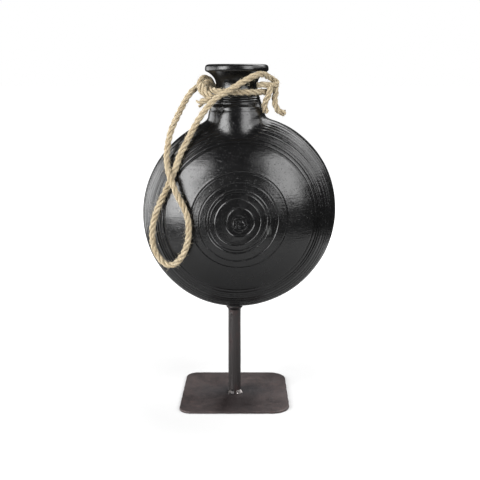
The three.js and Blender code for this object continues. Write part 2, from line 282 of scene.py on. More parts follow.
def rope_material():
    """Laid natural fibre: pale strands with streaks and brown flecks, and painted shade darkening the
    hollows between the yarns.
    """
    n = Nodes("laid_rope")
    fibre = n.attribute("fibre")
    streak = n.noise(n.stretch(fibre, (3.2, 3.2, 0.07)), 1.6, 4, 0.65)
    hair = n.noise(n.stretch(fibre, (9, 9, 0.16)), 1.5, 2, 0.6)
    fleck = n.noise(n.stretch(fibre, (2.6, 2.6, 0.3)), 1.9, 3, 0.6)
    tone = n.noise(n.position(), 55, 3, 0.5)
    pale = n.mix(tone, (0.52, 0.425, 0.275), (0.69, 0.61, 0.44))
    colour = n.mix(n.ramp(streak, (0.36, 0.0), (0.62, 1.0)), (0.22, 0.15, 0.075), pale)
    colour = n.mix(n.ramp(hair, (0.58, 0.0), (0.74, 0.85)), colour, (0.92, 0.88, 0.74))
    colour = n.mix(n.ramp(fleck, (0.53, 0.0), (0.66, 0.85)), colour, (0.17, 0.11, 0.055))
    # Painted shade: the colour turns dark brown where the surface is hollow, between the strands and yarns.
    painted_crevice_shade = n.add("NewGeometry").outputs["Pointiness"]
    colour = n.mix(n.ramp(painted_crevice_shade, (0.40, 0.75), (0.485, 0.0)), colour, (0.13, 0.09, 0.045))
    n.set("Base Color", colour)
    n.set("Roughness", 0.88)
    n.set("Specular IOR Level", 0.2)
    n.set("Sheen Weight", 0.15)
    n.set("Sheen Roughness", 0.5)
    first = n.bump(streak, 1.0, 0.0008)
    n.set("Normal", n.bump(hair, 0.8, 0.0004, first))
    return n.material


def fuzz_material():
    n = Nodes("stray_fibre")
    n.set("Base Color", n.mix(n.noise(n.position(), 300, 2), (0.5, 0.42, 0.28), (0.78, 0.7, 0.54)))
    n.set("Roughness", 0.8)
    return n.material


CLAY = clay_material()
ROPE_FIBRE = rope_material()
FUZZ = fuzz_material()

# ---------------- ropes

ROPE_LAY = 25.0  # length in which a strand goes round once
STRAND_SHARE = 0.475  # a strand's radius, as a share of the rope's
STRAND_SIDES = 18
LOOSE_END = 9.0  # length over which an end spreads
FIBRES_PER_MM = 2.6


def route_curve(points, closed=False, spacing=0.6):
    """Evenly spaced points on a centripetal Catmull-Rom curve through the route."""
    p = np.asarray(points, float)
    if closed:
        p = np.vstack([p[-1], p, p[0], p[1]])
    else:
        p = np.vstack([2 * p[0] - p[1], p, 2 * p[-1] - p[-2]])
    dense = []
    for a, b, c, d in zip(p, p[1:], p[2:], p[3:]):
        t0 = 0.0
        t1 = t0 + np.linalg.norm(b - a) ** 0.5
        t2 = t1 + np.linalg.norm(c - b) ** 0.5
        t3 = t2 + np.linalg.norm(d - c) ** 0.5
        t = np.linspace(t1, t2, 40, endpoint=False)[:, None]
        ab = (t1 - t) / (t1 - t0) * a + (t - t0) / (t1 - t0) * b
        bc = (t2 - t) / (t2 - t1) * b + (t - t1) / (t2 - t1) * c
        cd = (t3 - t) / (t3 - t2) * c + (t - t2) / (t3 - t2) * d
        abc = (t2 - t) / (t2 - t0) * ab + (t - t0) / (t2 - t0) * bc
        bcd = (t3 - t) / (t3 - t1) * bc + (t - t1) / (t3 - t1) * cd
        dense.append((t2 - t) / (t2 - t1) * abc + (t - t1) / (t2 - t1) * bcd)
    dense = np.vstack(dense + [p[-2][None]])
    along = np.r_[0, np.cumsum(np.linalg.norm(np.diff(dense, axis=0), axis=1))]
    count = max(8, int(round(along[-1] / spacing)))
    at = np.linspace(0, along[-1], count, endpoint=not closed)
    return np.stack([np.interp(at, along, dense[:, k]) for k in range(3)], 1)


def carried_frames(path, closed=False):
    """Tangents, and two normals carried along the path without twist."""
    if closed:
        tangent = np.roll(path, -1, 0) - np.roll(path, 1, 0)
    else:
        tangent = np.gradient(path, axis=0)
    tangent /= np.linalg.norm(tangent, axis=1)[:, None]
    first = np.cross(tangent[0], [0.3, 0.2, 0.93])
    normals = [first / np.linalg.norm(first)]
    for t in tangent[1:]:
        n = normals[-1] - t * normals[-1].dot(t)
        normals.append(n / np.linalg.norm(n))
    normals = np.array(normals)
    if closed:
        last = normals[-1] - tangent[0] * normals[-1].dot(tangent[0])
        side = np.cross(tangent[0], normals[0])
        error = math.atan2(last.dot(side), last.dot(normals[0]))
        turn = -error * np.arange(len(path)) / len(path)
        other = np.cross(tangent, normals)
        normals = np.cos(turn)[:, None] * normals + np.sin(turn)[:, None] * other
    return tangent, normals, np.cross(tangent, normals)


def path_length(path, closed=False):
    steps = np.linalg.norm(np.diff(path, axis=0), axis=1).sum()
    return steps + (np.linalg.norm(path[0] - path[-1]) if closed else 0)


def laid_rope(name, path, closed=False, diameter=ROPE, lay=ROPE_LAY, phase=0.0, loosen=(0, 0)):
    """Three strands laid up round the path, each lobed by its yarns. loosen spreads the two ends."""
    tangent, normal, other = carried_frames(path, closed)
    count, sides = len(path), STRAND_SIDES
    length = path_length(path, closed)
    along = np.linspace(0, length, count, endpoint=not closed)
    turns = max(1, round(length / lay)) if closed else length / lay
    strand = diameter / 2 * STRAND_SHARE
    offset = diameter / 2 - strand
    slant = math.cos(math.atan(TAU * offset / lay))
    grow = np.zeros(count)
    for end, amount in ((along, loosen[0]), (length - along, loosen[1])):
        grow += amount * np.clip(1 - end / LOOSE_END, 0, 1) ** 2
    verts, faces, fibre = [], [], []
    theta = np.arange(sides) * TAU / sides
    for k in range(3):
        phi = phase + TAU * turns * along / length + k * TAU / 3
        radial = np.cos(phi)[:, None] * normal + np.sin(phi)[:, None] * other
        around = -np.sin(phi)[:, None] * normal + np.cos(phi)[:, None] * other
        yarn = theta[None, :] + 2.1 * phi[:, None]
        lobes = 1 + 0.07 * np.cos(5 * yarn + k) + 0.03 * np.cos(11 * yarn + 2 * k)
        thick = strand * (1 + 0.06 * np.sin(along / 7.3 + 2 * k) * np.sin(along / 17.0 + k))
        r = lobes * thick[:, None]
        out = offset * (1 + grow)[:, None, None] * radial[:, None, :]
        ring = path[:, None, :] + out
        ring = ring + (r * np.cos(theta))[..., None] * radial[:, None, :]
        ring = ring + (r * np.sin(theta) / slant)[..., None] * around[:, None, :]
        base = len(verts) * count * sides
        verts.append(ring.reshape(-1, 3))
        faces.append(grid_faces(count, sides, wrap_rows=closed) + base)
        run = np.repeat(along[:, None], sides, 1)
        fibre.append(np.stack([np.cos(yarn) + 7 * k, np.sin(yarn), run], -1).reshape(-1, 3))
    verts, fibre = np.vstack(verts), np.vstack(fibre)
    faces = [list(f) for f in np.vstack(faces)]
    if not closed:
        for k in range(3):
            start = k * count * sides
            last = start + (count - 1) * sides
            faces.append([start + j for j in reversed(range(sides))])
            faces.append([last + j for j in range(sides)])
    return make_object(name, verts, faces, ROPE_FIBRE, attributes={"fibre": fibre})


def stray_fibres(name, paths, per_mm, seed, reach=(2.0, 9.0)):
    """Thin hairs that stand off the ropes, each a three-sided tapering tube."""
    rng = np.random.default_rng(seed)
    verts, faces = [], []
    for path, diameter in paths:
        tangent, normal, other = carried_frames(path)
        for _ in range(int(path_length(path) * per_mm)):
            i = rng.integers(2, len(path) - 2)
            angle = rng.uniform(0, TAU)
            out = math.cos(angle) * normal[i] + math.sin(angle) * other[i]
            side = np.cross(tangent[i], out)
            way = tangent[i] * rng.choice([-1, 1]) * rng.uniform(0.5, 1.2)
            way = way + out * rng.uniform(0.15, 0.9) + side * rng.uniform(-0.7, 0.7)
            way /= np.linalg.norm(way)
            bend = out * rng.uniform(-0.5, 0.7) + side * rng.uniform(-0.6, 0.6)
            bend[2] -= rng.uniform(0, 0.3)
            length = rng.uniform(*reach) * rng.uniform(0.35, 1)
            radius = rng.uniform(0.06, 0.13)
            start = path[i] + out * diameter * 0.44
            steps = 5
            t = np.linspace(0, 1, steps)[:, None]
            line = start + length * (t * way + t * t * 0.5 * bend)
            a = np.cross(way, [0.31, 0.77, 0.55])
            a /= np.linalg.norm(a)
            b = np.cross(way, a)
            ring = np.arange(3) * TAU / 3
            cross = np.cos(ring)[:, None] * a + np.sin(ring)[:, None] * b
            width = radius * (1 - 0.75 * t)
            base = len(verts) * steps * 3
            verts.append((line[:, None, :] + width[:, None, :] * cross[None]).reshape(-1, 3))
            faces.extend((grid_faces(steps, 3) + base).tolist())
            faces.append([base + 2, base + 1, base])
            faces.append([base + (steps - 1) * 3 + j for j in range(3)])
    return make_object(name, np.vstack(verts), faces, FUZZ)


# The same routes as the CAD solids', in metres.
NECK_ROPE_ROUTE = [
    (0.0405, -0.011, 0.3865), (0.0315, -0.0225, 0.3865), (0.018, -0.0295, 0.3865),
    (0.003, -0.031, 0.3865), (-0.011, -0.0295, 0.387), (-0.023, -0.023, 0.388),
    (-0.031, -0.010, 0.391), (-0.031, 0.003, 0.393), (-0.025, 0.019, 0.3925),
    (-0.011, 0.0285, 0.390), (0.003, 0.031, 0.388), (0.018, 0.0285, 0.387),
    (0.031, 0.018, 0.3865), (0.040, 0.006, 0.3865), (0.042, -0.003, 0.3865),
]
STRAP_ROUTE = [
    (-0.0355, -0.007, 0.3925), (-0.042, -0.0073, 0.3928), (-0.048, -0.0095, 0.3895),
    (-0.054, -0.013, 0.383), (-0.0605, -0.018, 0.372), (-0.0685, -0.024, 0.356),
    (-0.075, -0.029, 0.341), (-0.0785, -0.033, 0.326), (-0.080, -0.037, 0.311),
    (-0.0785, -0.0445, 0.301), (-0.076, -0.0545, 0.293), (-0.072, -0.060, 0.283),
    (-0.0665, -0.0635, 0.270), (-0.0585, -0.0658, 0.255), (-0.054, -0.0673, 0.242),
    (-0.053, -0.0678, 0.230), (-0.054, -0.0675, 0.217), (-0.057, -0.066, 0.206),
    (-0.062, -0.0635, 0.1955), (-0.0695, -0.060, 0.187), (-0.077, -0.056, 0.184),
    (-0.084, -0.0525, 0.186), (-0.091, -0.0495, 0.193), (-0.0965, -0.0472, 0.204),
    (-0.098, -0.046, 0.219), (-0.0965, -0.0468, 0.233), (-0.092, -0.0482, 0.248),
    (-0.085, -0.050, 0.2635), (-0.077, -0.051, 0.280), (-0.070, -0.0492, 0.296),
    (-0.064, -0.0445, 0.313), (-0.056, -0.040, 0.329), (-0.0465, -0.037, 0.347),
    (-0.035, -0.0365, 0.3645), (-0.022, -0.039, 0.379), (-0.005, -0.040, 0.3893),
    (0.013, -0.037, 0.400), (0.0285, -0.031, 0.407), (0.036, -0.025, 0.4067),
    (0.041, -0.018, 0.404),
]
LEFT_KNOT_ROUTE = [
    (-0.031, -0.0035, 0.4015), (-0.036, -0.009, 0.403), (-0.040, -0.0145, 0.3995),
    (-0.041, -0.0172, 0.3935), (-0.0385, -0.0188, 0.3875), (-0.0335, -0.020, 0.383),
    (-0.028, -0.0205, 0.3805),
]
CUT_TAIL_ROUTE = [
    (-0.026, -0.0285, 0.379), (-0.032, -0.0275, 0.3775), (-0.0375, -0.025, 0.3755),
    (-0.042, -0.022, 0.3732),
]
RIGHT_KNOT_ROUTE = [
    (0.0422, -0.0162, 0.4031), (0.0472, -0.014, 0.4006), (0.0508, -0.015, 0.3965),
    (0.0475, -0.0195, 0.394), (0.041, -0.0225, 0.3948), (0.034, -0.0235, 0.3952),
    (0.0275, -0.0215, 0.395),
]
SHORT_TAIL_ROUTE = [
    (0.042, -0.0235, 0.3865), (0.0395, -0.023, 0.380), (0.0365, -0.0205, 0.3735),
    (0.0365, -0.0175, 0.3675), (0.0385, -0.0155, 0.3625),
]
LONG_TAIL_ROUTE = [
    (0.0495, -0.018, 0.3858), (0.0483, -0.0185, 0.3785), (0.0495, -0.018, 0.3705),
    (0.054, -0.016, 0.3635), (0.061, -0.014, 0.3615),
]

# Where the ropes tuck into their knots: more of each end than its CAD solid has.
LEFT_TUCK = [(-0.0265, 0.004, 0.395), (-0.028, 0.0005, 0.3985)]
LEFT_WRAP_ROUTE = [
    (-0.0275, -0.006, 0.3985), (-0.0325, -0.0115, 0.3985), (-0.036, -0.0165, 0.3945),
    (-0.0345, -0.021, 0.3885), (-0.0295, -0.0245, 0.3835), (-0.0245, -0.0245, 0.3805),
]
SHORT_TUCK = [(0.0405, -0.019, 0.3955), (0.0425, -0.0228, 0.392)]
LONG_TUCK = [(0.0465, -0.0145, 0.3965), (0.0492, -0.0172, 0.3915)]


def in_mm(route):
    return [tuple(1000 * c for c in point) for point in route]


def make_ropes():
    strap_path = route_curve(in_mm(STRAP_ROUTE))
    strap = placed(laid_rope("strap_rope_laid", strap_path), "rope", "strap_rope")
    neck_path = route_curve(in_mm(NECK_ROPE_ROUTE), closed=True)
    placed(laid_rope("neck_rope_laid", neck_path, closed=True), "rope", "neck_rope")
    ends = {
        "left_knot": (LEFT_TUCK + LEFT_KNOT_ROUTE, (0, 0)),
        "cut_tail": (CUT_TAIL_ROUTE, (0, 0.9)),
        "right_knot": (RIGHT_KNOT_ROUTE, (0, 0)),
        "short_tail": (SHORT_TUCK + SHORT_TAIL_ROUTE, (0, 0.3)),
        "long_tail": (LONG_TUCK + LONG_TAIL_ROUTE, (0, 0.3)),
    }
    pieces, paths = [], [(strap_path, ROPE), (neck_path, ROPE)]
    for number, (node, (route, loosen)) in enumerate(ends.items()):
        path = route_curve(in_mm(route))
        rope = laid_rope(node + "_laid", path, phase=1.3 * number, loosen=loosen)
        pieces.append(placed(rope, "rope", node))
        paths.append((path, ROPE))
    wrap_path = route_curve(in_mm(LEFT_WRAP_ROUTE))
    pieces.append(placed(laid_rope("left_knot_wrap", wrap_path, phase=0.4), "rope"))
    paths.append((wrap_path, ROPE))
    hairs = placed(stray_fibres("rope_fuzz", paths, per_mm=FIBRES_PER_MM, seed=7), "rope")


make_ropes()

# ---------------- closed shapes


def outward(verts, faces):
    """The faces turned so that they enclose a positive volume."""
    volume = 0.0
    verts = np.asarray(verts)
    for size in (3, 4):
        group = np.array([f for f in faces if len(f) == size])
        for second in range(1, size - 1) if len(group) else ():
            a, b, c = (verts[group[:, k]] for k in (0, second, second + 1))
            volume += np.einsum("ij,ij->i", a, np.cross(b, c)).sum()
    return faces if volume > 0 else [list(reversed(f)) for f in faces]


def capped(name, rings, first, last, material, sharp=None):
    """A closed skin over rings of points, from one pole to the other."""
    count, around, _ = rings.shape
    verts = np.vstack([rings.reshape(-1, 3), [first], [last]])
    faces = grid_faces(count, around).tolist()
    start = (count - 1) * around
    for j in range(around):
        k = (j + 1) % around
        faces.append([count * around, k, j])
        faces.append([count * around + 1, start + j, start + k])
    return make_object(name, verts, outward(verts, faces), material, sharp=sharp)


def looped(name, rings, material, sharp=None):
    """A closed skin over rings of points whose last ring joins the first."""
    count, around, _ = rings.shape
    verts = rings.reshape(-1, 3)
    faces = grid_faces(count, around, wrap_rows=True).tolist()
    return make_object(name, verts, outward(verts, faces), material, sharp=sharp)


def spun(profile, columns):
    """Rings of points made by turning [radius, height] pairs about the Z axis."""
    turn = np.arange(columns) * TAU / columns
    radius, height = np.asarray(profile, float).T
    x = radius[:, None] * np.cos(turn)
    y = radius[:, None] * np.sin(turn)
    return np.stack([x, y, np.repeat(height[:, None], columns, 1)], -1)


def lumps(points, size, depth, seed, waves=7):
    """Slow handmade unevenness: a few crossing waves of about the given size."""
    rng = np.random.default_rng(seed)
    total = np.zeros(points.shape[:-1])
    for _ in range(waves):
        way = rng.normal(size=3)
        way *= TAU / (size * rng.uniform(0.7, 1.6) * np.linalg.norm(way))
        total += np.sin(points @ way + rng.uniform(0, TAU))
    return depth * total / math.sqrt(waves)


def from_axis(rings):
    """Level unit vectors from the Z axis to each point."""
    away = rings * [1, 1, 0]
    return away / np.maximum(np.linalg.norm(away, axis=-1), 1e-6)[..., None]


def round_section(inner, outer, bottom, top, corner, bulge=0.0):
    """[radius, height] pairs of a ring's section, with round corners and a bulging outer side."""
    quarter = np.linspace(0, math.pi / 2, 6)
    middle, half = (bottom + top) / 2, (top - bottom) / 2
    section = []
    for x, z, start in ((outer - corner, top - corner, 0), (inner + corner, top - corner, 1),
                        (inner + corner, bottom + corner, 2), (outer - corner, bottom + corner, 3)):
        for a in quarter + start * math.pi / 2:
            section.append([x + corner * math.cos(a), z + corner * math.sin(a)])
        if start == 3:
            side = np.linspace(-0.6, 0.6, 5) * half
            section.extend([outer, middle + s] for s in side)
    for point in section:
        swell = 1 - ((point[1] - middle) / half) ** 2
        point[0] += bulge * swell if point[0] > (inner + outer) / 2 else 0
    return section


# ---------------- clay vessel

RING_RADII = (57.0, 46.4, 37.6, 34.0, 27.2, 16.6)  # cut round each pole
# Cut nearer the edge, as shares of the disc's radius
EDGE_RINGS = (0.748, 0.783, 0.808, 0.833, 0.868, 0.899, 0.924, 0.945, 0.971)
RING_SHIFT = {  # how far each ring's middle lies right of and above the pole, by its radius
    0.0: (0.0, -3.2), 11.0: (0.0, -3.0), 16.6: (1.0, -1.2), 27.2: (-2.4, -1.4), 36.0: (-1.2, -0.7),
    46.4: (-1.0, -2.2), 57.0: (0.0, 0.0), 80.0: (0.0, 0.0),
}
SWIRL_RADIUS = 11.5  # of the spiral at each pole
SWIRL_PITCH = 3.1
SKIN_DEPTH = 0.45  # the skin lies this far inside the CAD's, so that its bumps stay within the box

# The neck's outside from the foot up: drop from the mouth, and share of the way from throat to foot radius
NECK_SWELL = (
    (94, 1.45), (85, 1.47), (76, 1.5), (70, 1.38), (64.5, 1.24), (60.5, 1.13), (56.5, 1.0),
    (53.4, 0.86), (50.8, 0.82), (46.6, 0.57), (37.3, 0.23),
)
# Then over the lip: drop from the mouth, and share of the way from throat to lip radius
NECK_FLARE = (
    (27, 0), (18.7, 0.1), (14.2, 0.31), (10.5, 0.62), (7.7, 0.96), (5.2, 1), (1.6, 0.93),
    (0.3, 0.76), (0, 0.6),
)
NECK_RIDGES = (36.8, 39.6, 42.3, 45.0)  # below the mouth
NECK_END_DROP, BORE_END_DROP = 94, 85
FOOT_DROP, FOOT_RUN, FOOT_SPREAD = 62, 22, 0.11  # where the foot runs out over the faces, and how far
LUTE_REACH = 5.5  # how far the clay was smoothed either side of the joint
LUTE_ROUNDS = 36


def groove(distance, depth, width):
    """Height of a scratched line and of the burr thrown up on both its sides."""
    u = distance / width
    burr = np.exp(-((np.abs(u) - 1.75) / 0.6) ** 2)
    return depth * (0.14 * burr - np.exp(-u * u))


def body_rows():
    """Angles from the front pole to the back one, close together where something is cut."""
    half_thickness = BODY_THICKNESS / 2

    def step(angle, distance):
        return distance / math.hypot(BODY_REACH * math.cos(angle), half_thickness * math.sin(angle))

    angles = list(np.linspace(0.004, SWIRL_RADIUS / BODY_REACH, 30))
    angles += list(np.linspace(SWIRL_RADIUS / BODY_REACH, math.pi / 2, 38))
    for radius in [*RING_RADII, *(share * BODY_REACH for share in EDGE_RINGS)]:
        at = math.asin(radius / BODY_REACH)
        angles += [at + step(at, d) for d in (-1.5, -1.05, -0.65, -0.3, 0, 0.3, 0.65, 1.05, 1.5)]
    angles.sort()
    kept = [angles[0]]
    for angle in angles[1:]:
        if angle - kept[-1] > step(angle, 0.27):
            kept.append(angle)
    kept = [a for a in kept if a < math.pi / 2 - step(a, 1.0)]
    return np.array(kept + [math.pi / 2] + [math.pi - a for a in reversed(kept)])


def oval_disc(angles, turn, half_long, half_short, half_thickness):
    """Points and outward normals of the disc, whose oval outline is turned 45 degrees."""
    x = half_long * np.sin(angles) * np.cos(turn)
    z = half_short * np.sin(angles) * np.sin(turn)
    y = -half_thickness * np.cos(angles)
    nx, ny, nz = x / half_long ** 2, y / half_thickness ** 2, z / half_short ** 2
    size = np.sqrt(nx * nx + ny * ny + nz * nz)
    s = math.sqrt(0.5)
    points = np.stack([s * (x - z), y, s * (x + z)], -1)
    normals = np.stack([s * (nx - nz), ny, s * (nx + nz)], -1) / size[..., None]
    return points + BODY_CENTRE, normals


def shifted(angle, turn, radius):
    """The grid moved across the face, so that each ring lies about its own middle."""
    at = sorted(RING_SHIFT)
    right, up = (np.interp(radius, at, [RING_SHIFT[a][k] for a in at]) for k in (0, 1))
    slope = turn + math.pi / 4
    x = radius * np.cos(slope) + right
    z = radius * np.sin(slope) + up
    moved = np.arcsin(np.clip(np.hypot(x, z) / BODY_REACH, 0, 1))
    return np.where(angle > math.pi / 2, math.pi - moved, moved), np.arctan2(z, x) - math.pi / 4


def cut_body(name, columns=184):
    rows = body_rows()
    angle, turn = np.meshgrid(rows, np.arange(columns) * TAU / columns, indexing="ij")
    radius = BODY_REACH * np.sin(angle)
    front = np.where(angle < math.pi / 2, 0.0, 1.9)
    height = np.zeros_like(radius)
    for number, ring in enumerate(RING_RADII):
        strength = 0.78 + 0.22 * np.sin(turn + 2.3 * number + front)
        height += groove(radius - ring, 0.74 * strength, 0.56)
    for number, share in enumerate(EDGE_RINGS):
        flat = np.hypot(np.cos(angle), np.sin(angle) * BODY_THICKNESS / 2 / BODY_REACH)
        across = (radius - share * BODY_REACH) / np.maximum(np.abs(np.cos(angle)), 0.05) * flat
        strength = 0.82 + 0.18 * np.sin(turn + 1.7 * number + front)
        height += groove(across, 0.95 * strength, 0.85)
    drift = 0.2 * np.sin(2 * turn + 1) + 0.13 * np.sin(5 * turn + radius / 2.1)
    drift += 0.1 * np.sin(3 * turn - radius)
    spiral = (radius / SWIRL_PITCH - turn / TAU + drift + 0.5) % 1 - 0.5
    inside = np.clip((SWIRL_RADIUS - radius) / 2.5, 0, 1) * np.clip(radius / 1.5, 0, 1)
    faded = 0.55 + 0.45 * np.sin(1.7 * turn + radius / 1.6)
    height += inside * faded * groove(spiral * SWIRL_PITCH, 0.55, 0.42)
    wander = 0.5 * np.sin(turn + 0.7) + 0.32 * np.sin(2 * turn + radius / 23 + front)
    wander += 0.16 * np.sin(3 * turn - radius / 11) + 0.1 * np.sin(7 * turn + radius / 7)
    radius = radius + wander * np.clip(radius / 14, 0, 1) * np.abs(np.cos(angle))
    angle, turn = shifted(angle, turn, np.minimum(radius, BODY_REACH))
    points, normals = oval_disc(angle, turn, BODY_LONG / 2, BODY_SHORT / 2, BODY_THICKNESS / 2)
    height += lumps(points, 85, 0.28, seed=3) + lumps(points, 26, 0.06, seed=4)
    points = points + (height - SKIN_DEPTH)[..., None] * normals
    front_pole = points[0].mean(0)
    back_pole = points[-1].mean(0)
    return capped(name, points, front_pole, back_pole, CLAY)


def neck_outline():
    """[radius, height] pairs up the outside of the neck, over the lip and in to the mouth's edge."""
    places = [(THROAT + share * (NECK_FOOT - THROAT), 0, MOUTH_HEIGHT - drop) for drop, share in NECK_SWELL]
    places += [(THROAT + share * (LIP - THROAT), 0, MOUTH_HEIGHT - drop) for drop, share in NECK_FLARE]
    outline = route_curve(places, spacing=0.7)
    radius, height = outline[:, 0].copy(), outline[:, 2]
    for ridge in NECK_RIDGES:
        drop = MOUTH_HEIGHT - height - ridge
        radius += 0.5 * np.exp(-(drop / 0.75) ** 2) - 0.3 * np.exp(-((drop - 1.4) / 0.6) ** 2)
    return np.stack([radius, height], 1)


def about_neck(rings, depth, seed):
    """The rings moved to the neck's axis, with handmade unevenness."""
    away = from_axis(rings)
    rings = rings + np.array([NECK_X, 0, 0])
    return rings + away * lumps(rings, 38, depth, seed)[..., None]


def neck_solid(name):
    """The neck, whose foot runs out over the disc's front and back faces but not along its rim."""
    rings = spun(neck_outline(), 144)
    facing = np.abs(rings[..., 1]) / np.maximum(np.hypot(rings[..., 0], rings[..., 1]), 1e-6)
    below = np.clip((MOUTH_HEIGHT - rings[..., 2] - FOOT_DROP) / FOOT_RUN, 0, 1)
    rings[..., :2] *= 1 + (FOOT_SPREAD * facing ** 3 * below ** 1.5)[..., None]
    rings = about_neck(rings, 0.22, seed=5)
    return capped(name, rings, (NECK_X, 0, MOUTH_HEIGHT - NECK_END_DROP), (NECK_X, 0, MOUTH_HEIGHT), CLAY)


def neck_bore(name):
    narrow, wide, mouth = THROAT - WALL, NECK_FOOT - WALL, LIP - 1.4 * WALL
    outline = route_curve([
        (wide, 0, MOUTH_HEIGHT - BORE_END_DROP), (wide, 0, MOUTH_HEIGHT - 58),
        (narrow + 0.2 * (wide - narrow), 0, MOUTH_HEIGHT - 40), (narrow, 0, MOUTH_HEIGHT - 26),
        (narrow + 0.25 * (mouth - narrow), 0, MOUTH_HEIGHT - 14), (mouth, 0, MOUTH_HEIGHT - 2.6),
        (mouth + 1.1, 0, MOUTH_HEIGHT - 0.8), (mouth + 3.2, 0, MOUTH_HEIGHT + 0.4),
    ], spacing=1.6)[:, [0, 2]]
    rings = about_neck(spun(outline, 96), 0.3, seed=6)
    low, high = (NECK_X, 0, MOUTH_HEIGHT - BORE_END_DROP), (NECK_X, 0, MOUTH_HEIGHT + 0.4)
    return capped(name, rings, low, high, CLAY)


def below_height(name, height):
    """A block that holds everything below a height."""
    far = 2 * BODY_LONG
    corners = np.array([[x, y, z] for x in (0, 1) for y in (0, 1) for z in (0, 1)])
    verts = np.array((-far, -far, height - far)) + corners * (2 * far, 2 * far, far)
    faces = [[0, 1, 3, 2], [4, 6, 7, 5], [0, 4, 5, 1], [2, 3, 7, 6], [0, 2, 6, 4], [1, 5, 7, 3]]
    return make_object(name, verts, outward(verts, faces), CLAY, smooth=False)


def soften(obj, weight, rounds):
    """Moves each vertex towards the mean of its neighbours, as far as its weight says."""
    mesh = obj.data
    co = np.zeros(len(mesh.vertices) * 3)
    mesh.vertices.foreach_get("co", co)
    co = co.reshape(-1, 3) / MM
    edges = np.zeros(len(mesh.edges) * 2, int)
    mesh.edges.foreach_get("vertices", edges)
    a, b = edges.reshape(-1, 2).T
    share = weight(co)[:, None]
    here, beside = np.r_[a, b], np.r_[b, a]
    count = np.bincount(here, minlength=len(co))[:, None]
    for _ in range(rounds):
        total = np.stack([np.bincount(here, co[beside, k], len(co)) for k in range(3)], 1)
        co += share * (total / np.maximum(count, 1) - co)
    mesh.vertices.foreach_set("co", (co * MM).ravel())
    mesh.update()


def near_lute(points):
    """1 where the neck meets the bowls, falling to 0 a few millimetres away."""
    outline = neck_outline()
    side = np.hypot(points[:, 0] - NECK_X, points[:, 1])
    off_neck = np.abs(side - np.interp(points[:, 2], outline[:, 1][:-20], outline[:, 0][:-20]))
    local = (points - BODY_CENTRE) / [BODY_REACH, BODY_THICKNESS / 2, BODY_REACH]
    off_body = np.abs(np.linalg.norm(local, axis=1) - 1) * BODY_REACH
    away = np.hypot(off_neck, off_body)
    return np.clip(1.5 - away / LUTE_REACH, 0, 1) * (points[:, 2] > BODY_CENTRE[2])


def make_vessel():
    vessel = cut_body("canteen_body")
    boolean(vessel, neck_solid("neck_skin"), "UNION")
    soften(vessel, near_lute, LUTE_ROUNDS)
    boolean(vessel, below_height("seat_cut", SEAT_HEIGHT), "DIFFERENCE")
    rows, columns = np.linspace(0.03, math.pi - 0.03, 60), np.arange(96) * TAU / 96
    angle, turn = np.meshgrid(rows, columns, indexing="ij")
    inner_sizes = (size / 2 - WALL for size in (BODY_LONG, BODY_SHORT, BODY_THICKNESS))
    inner, _ = oval_disc(angle, turn, *inner_sizes)
    poles = BODY_CENTRE + np.outer([-1, 1], [0, BODY_THICKNESS / 2 - WALL, 0])
    hollow = capped("hollow", inner, *poles, CLAY)
    boolean(hollow, below_height("floor_fill", FLOOR_HEIGHT), "DIFFERENCE")
    boolean(hollow, neck_bore("bore"), "UNION")
    boolean(vessel, hollow, "DIFFERENCE")
    low, high = SEAT_HEIGHT - 1, FLOOR_HEIGHT + 1
    wall = spun([[HOLE_RADIUS, low], [HOLE_RADIUS, high]], 40)
    drill = capped("drill", wall, (0, 0, low), (0, 0, high), CLAY)
    boolean(vessel, drill, "DIFFERENCE")
    vessel.data.set_sharp_from_angle(angle=math.radians(52))
    placed(vessel, "clay", "front_bowl", "back_bowl", "neck")


make_vessel()

# ---------------- iron materials


DARK_PLACE = (0.003, -0.037, 0)  # on the plate, in front of the rod


def plate_material():
    """Waxed hot-rolled plate: brown-black blotches, soot round the weld and a darker place ahead of it."""
    n = Nodes("rusty_plate")
    p = n.position()
    blotch = n.noise(p, 22, 6, 0.62, 0.6)
    fine = n.noise(p, 160, 4, 0.65)
    rolled = n.noise(n.stretch(p, (1, 0.16, 1)), 70, 4, 0.6)
    cloud = n.ramp(blotch, (0.38, 0.0), (0.62, 1.0))
    colour = n.mix(cloud, (0.044, 0.035, 0.035), (0.08, 0.066, 0.065))
    colour = n.mix(n.ramp(fine, (0.45, 0.0), (0.7, 0.5)), colour, (0.088, 0.056, 0.051))
    colour = n.mix(n.ramp(rolled, (0.56, 0.0), (0.75, 0.4)), colour, (0.03, 0.029, 0.031))
    away = n.vector("LENGTH", n.stretch(p, (0.5, 1.0, 1)))
    spread = n.math("ADD", away, n.math("MULTIPLY", n.noise(p, 34, 4), 0.02))
    soot = n.ramp(n.math("DIVIDE", spread, 0.06), (0.3, 0.75), (0.72, 0.0))
    colour = n.mix(soot, colour, (0.03, 0.03, 0.033))
    ahead = n.vector("DISTANCE", p, DARK_PLACE)
    spread = n.math("ADD", ahead, n.math("MULTIPLY", n.noise(p, 40, 4), 0.02))
    dark = n.ramp(n.math("DIVIDE", spread, 0.06), (0.4, 0.96), (0.95, 0.0))
    colour = n.mix(dark, colour, (0.014, 0.009, 0.009))
    normal = n.bump(fine, 0.35, 0.0003, n.bump(blotch, 0.3, 0.0009))
    return n.finish(colour, 0.35, n.ramp(fine, (0.3, 0.36), (0.7, 0.54)), normal)


